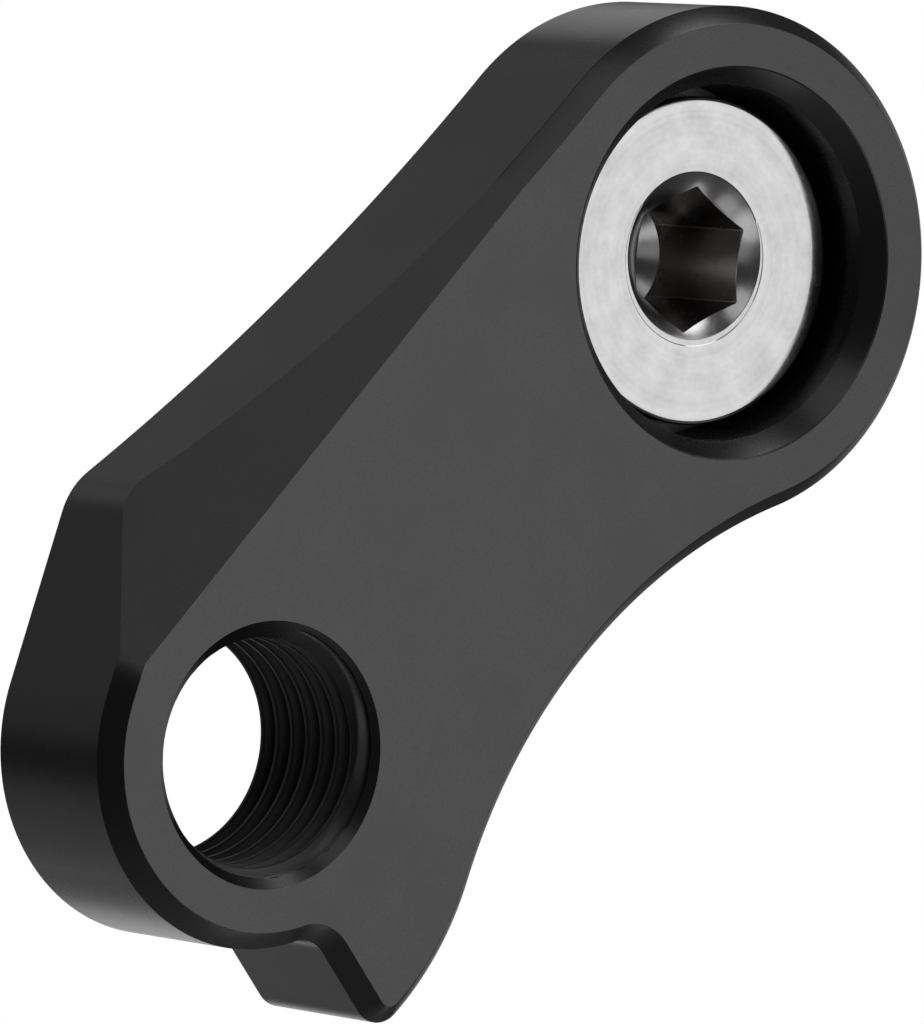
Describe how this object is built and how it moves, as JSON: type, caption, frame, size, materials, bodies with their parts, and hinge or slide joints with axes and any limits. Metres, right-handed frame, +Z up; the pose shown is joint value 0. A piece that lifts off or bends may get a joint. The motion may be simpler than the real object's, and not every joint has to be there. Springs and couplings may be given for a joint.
{
  "type": "derailleur hanger extender",
  "caption": "Machined bicycle link that hangs a rear derailleur lower and further back: a recessed hex socket bolt at the upper end, a threaded hole and a stop nose at the lower end.",
  "frame": {"origin": "on the hanger bolt's axis, at the back face of the link, which seats on the bicycle's derailleur hanger", "axes": "+Y along the hanger bolt, from the link into the hanger, so the front face looks along -Y; +Z up and +X to the right as seen from the front, with the link running down to the left"},
  "size_m": [0.0403, 0.0164, 0.0393],
  "materials": {
    "anodised_aluminium": "black anodised, satin, machined",
    "stainless_steel": "bare, fine turned rings"
  },
  "bodies": {
    "root": {"link_body": "anodised_aluminium", "hanger_bolt": "stainless_steel"}
  },
  "joints": []
}
